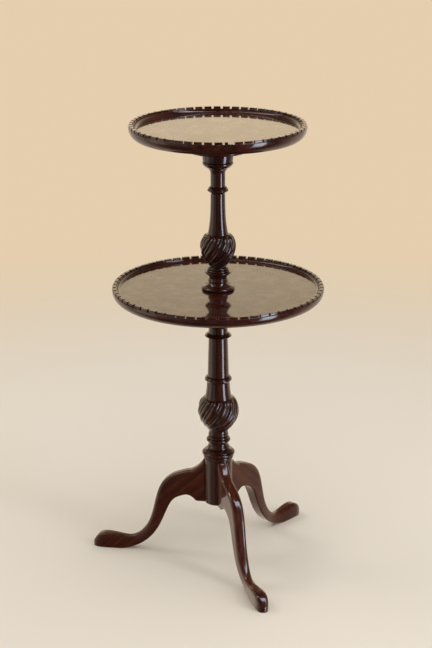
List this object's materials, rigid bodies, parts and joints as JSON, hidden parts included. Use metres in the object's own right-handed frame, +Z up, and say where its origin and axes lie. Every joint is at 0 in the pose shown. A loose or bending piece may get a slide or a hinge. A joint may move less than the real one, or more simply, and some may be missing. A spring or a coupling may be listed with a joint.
{
  "type": "tiered side table",
  "caption": "Two-tier turned side table: two round dished trays with notched rims turn on a twist-carved column over three cabriole legs.",
  "frame": {"origin": "on the column's axis at floor level", "axes": "+Z up along the column, -Y towards the front leg, +X towards the right leg's side"},
  "size_m": [0.4708, 0.4812, 0.92],
  "materials": {
    "mahogany_turned": "french polish",
    "mahogany_leg": "french polish",
    "mahogany_tray": "french polish",
    "iron": "forged",
    "screw_steel": "dull",
    "washer_leather": "worn"
  },
  "bodies": {
    "stand": {"lower_column": "mahogany_turned", "upper_column": "mahogany_turned", "front_leg": "mahogany_leg", "right_leg": "mahogany_leg", "left_leg": "mahogany_leg", "brace_plate": "iron", "plate_leg_screws": "screw_steel", "plate_middle_screw": "screw_steel", "lower_washer": "washer_leather", "upper_washer": "washer_leather"},
    "lower_tier": {"lower_tray": "mahogany_tray", "lower_tray_block": "mahogany_turned", "lower_block_screws": "screw_steel"},
    "upper_tier": {"upper_tray": "mahogany_tray", "upper_tray_block": "mahogany_turned", "upper_block_screws": "screw_steel"}
  },
  "joints": [
    {"name": "lower_tray_turn", "type": "hinge", "parent": "stand", "child": "lower_tier", "pos_m": [0, 0, 0.545], "axis": [0, 0, 1], "continuous": true},
    {"name": "upper_tray_turn", "type": "hinge", "parent": "stand", "child": "upper_tier", "pos_m": [0, 0, 0.867], "axis": [0, 0, 1], "continuous": true}
  ]
}
